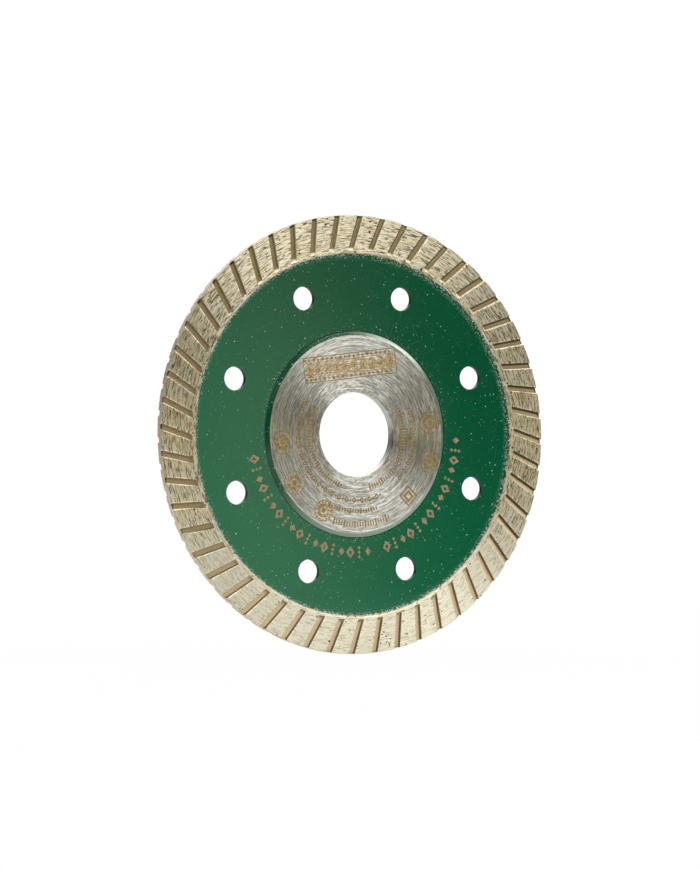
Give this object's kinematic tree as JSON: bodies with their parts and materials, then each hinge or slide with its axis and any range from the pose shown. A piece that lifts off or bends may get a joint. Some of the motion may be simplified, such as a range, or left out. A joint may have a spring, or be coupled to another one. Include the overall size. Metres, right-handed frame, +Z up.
{
  "type": "diamond cutting blade",
  "caption": "Thin round diamond cutting blade with a fluted sintered rim, a painted steel core with round cooling holes, and a raised steel hub flange on each side of the spindle bore.",
  "frame": {"origin": "centre of the spindle bore, on the blade's mid-plane", "axes": "Y is the spin axis, the marked front face looks towards -Y, and the blade stands upright with +Z up"},
  "size_m": [0.115, 0.0028, 0.115],
  "materials": {
    "painted_core": "satin deep green paint with fine dust specks and small scratches, thin and flecked at the rim and the hub",
    "rim_foot_bond": "sintered bronze, ground flat, a little more open in its pores than the diamond layer",
    "diamond_bond": "sintered bronze with diamond grit, ground round the blade with fine dark pores, smoother and browner in the flutes",
    "flange_steel": "turned bare steel face with concentric tool marks, green paint on the bevelled edge",
    "weld_steel": "fused steel, hidden between the sheets"
  },
  "bodies": {
    "root": {"core_disc": "painted_core", "rim_foot": "rim_foot_bond", "diamond_rim": "diamond_bond", "front_flange": "flange_steel", "rear_flange": "flange_steel", "front_weld_nuggets": "weld_steel", "rear_weld_nuggets": "weld_steel"}
  },
  "joints": []
}
